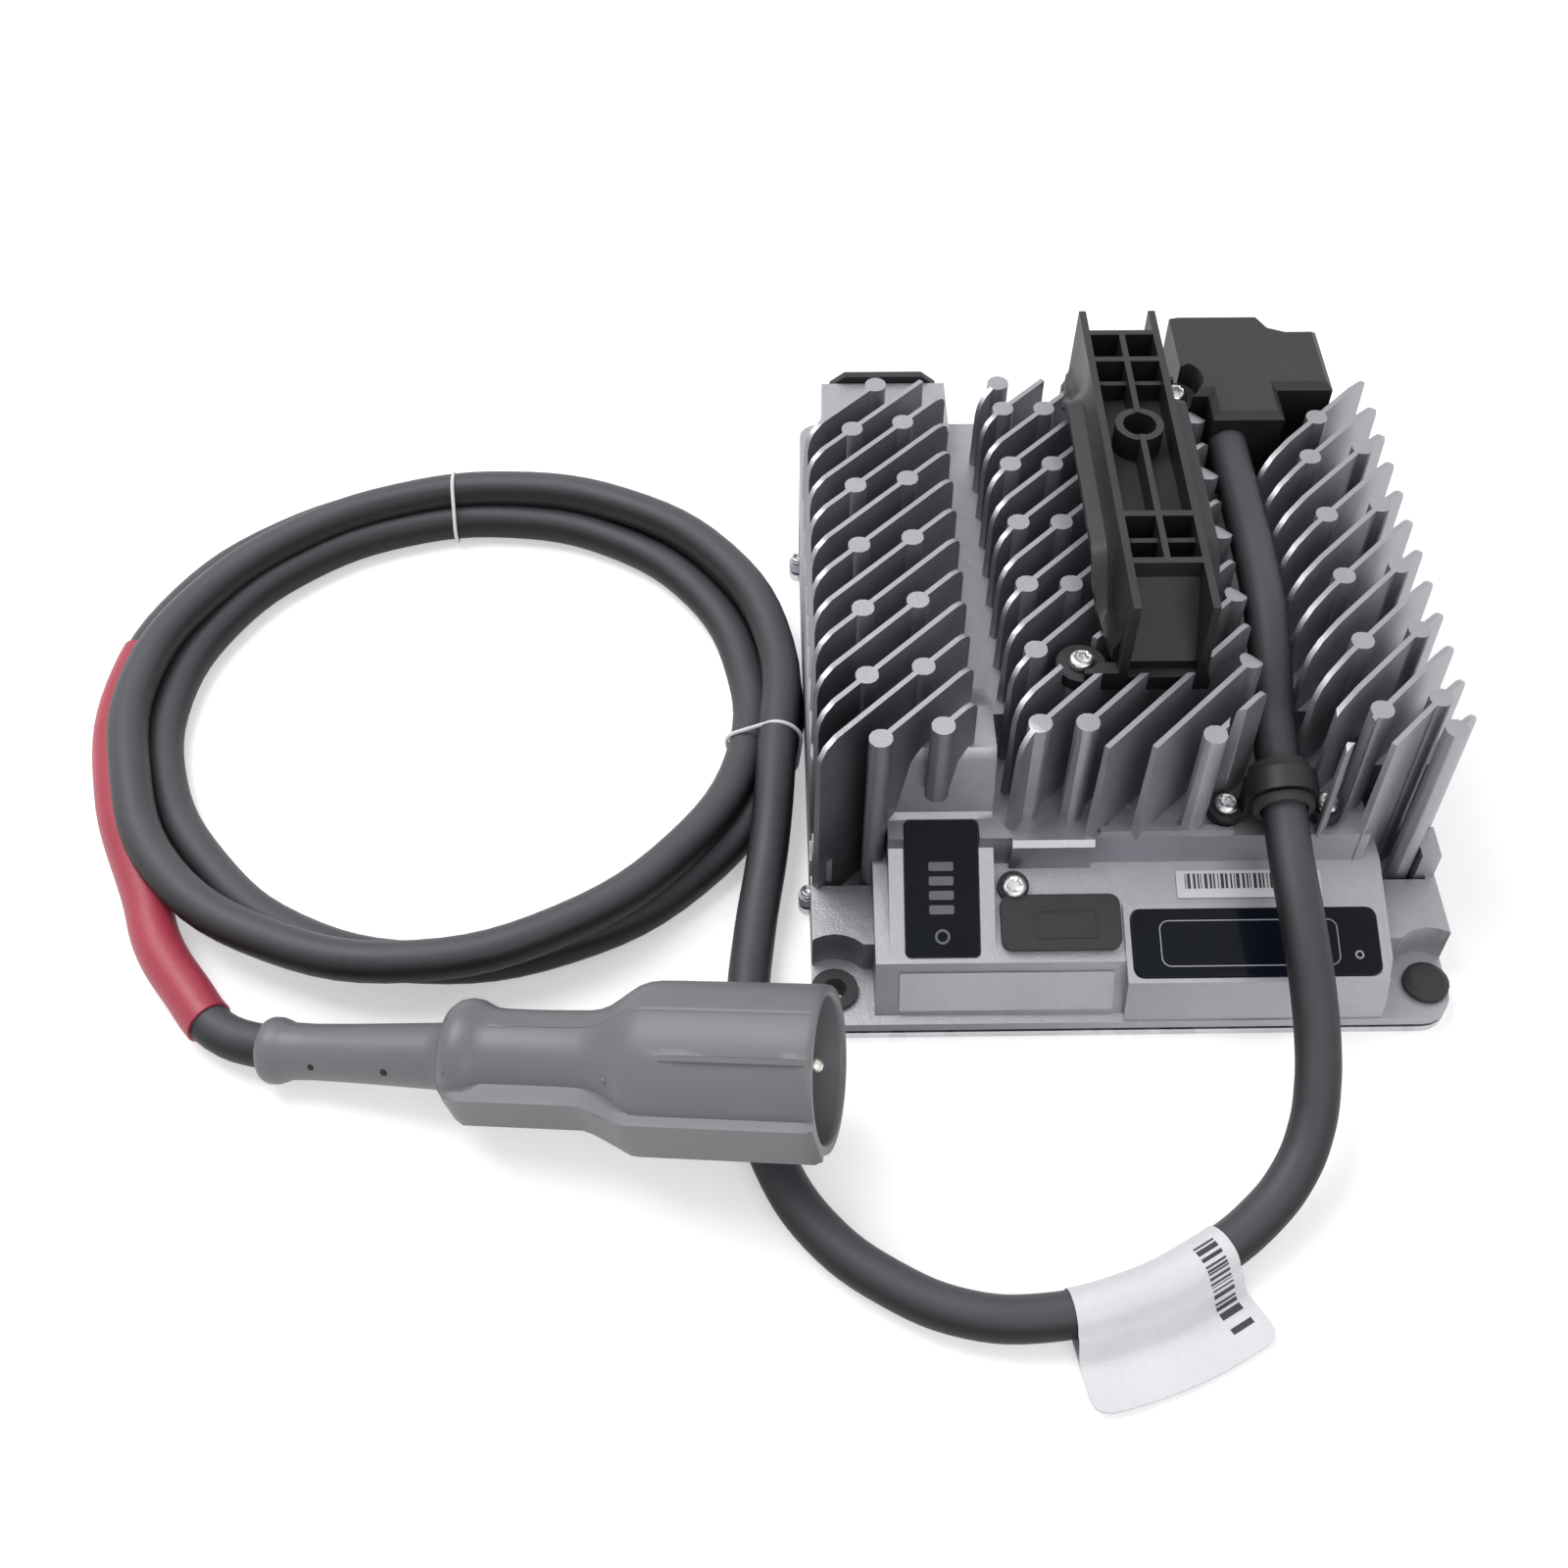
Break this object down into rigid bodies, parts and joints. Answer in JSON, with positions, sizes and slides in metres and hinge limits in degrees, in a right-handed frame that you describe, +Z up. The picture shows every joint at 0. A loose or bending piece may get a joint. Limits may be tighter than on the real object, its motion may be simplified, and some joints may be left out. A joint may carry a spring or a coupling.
{
  "type": "golf cart charger",
  "caption": "On-board battery charger in a finned die-cast housing with a ribbed carrying handle, a coiled output lead and a grey battery plug.",
  "frame": {"origin": "on the floor under the middle of the charger's own box, without its lead", "axes": "+X to the right seen from the panel, +Y from the panel to the hood and the inlet, +Z up from the base plate"},
  "size_m": [0.425, 0.335, 0.1094],
  "materials": {
    "cast": "die-cast, satin",
    "plate": "satin",
    "steel": "bright",
    "nylon": "fine moulded grain",
    "rubber": "matt",
    "window": "glossy dark film",
    "label": "satin film",
    "plug": "moulded, satin",
    "sleeve": "shrunk film",
    "jacket": "satin",
    "tie": "coated wire",
    "contact": "plated",
    "board": "solder mask",
    "ferrite": "matt",
    "copper": "enamelled wire",
    "can": "sleeve"
  },
  "bodies": {
    "root": {"heatsink_housing": "cast", "base_plate": "plate", "base_gasket": "rubber", "base_screw_1": "steel", "base_screw_2": "steel", "base_screw_3": "steel", "base_screw_4": "steel", "carry_handle": "nylon", "handle_screw_1": "steel", "handle_screw_2": "steel", "indicator_window": "window", "name_window": "window", "serial_label": "label", "front_label": "label", "usb_cover": "rubber", "usb_cover_screw": "steel", "usb_socket": "steel", "cable_clamp": "nylon", "clamp_screw_1": "steel", "clamp_screw_2": "steel", "cable_grommet": "rubber", "dc_header": "nylon", "dc_hood": "nylon", "ac_inlet": "nylon", "inlet_blade_1": "contact", "inlet_blade_2": "contact", "inlet_blade_3": "contact", "lug_bush": "rubber", "lug_plug": "rubber", "circuit_board": "board", "board_screw_1": "steel", "board_screw_2": "steel", "board_screw_3": "steel", "board_screw_4": "steel", "transformer": "ferrite", "choke": "copper", "capacitor_1": "can", "capacitor_2": "can", "capacitor_3": "can", "cord_lead": "jacket", "cord_coil": "jacket", "cord_plug_lead": "jacket", "heat_sleeve": "sleeve", "coil_tie_1": "tie", "coil_tie_2": "tie", "flag_label": "label", "battery_plug": "plug", "plug_contact_1": "contact", "plug_contact_2": "contact", "plug_contact_3": "contact"}
  },
  "joints": []
}
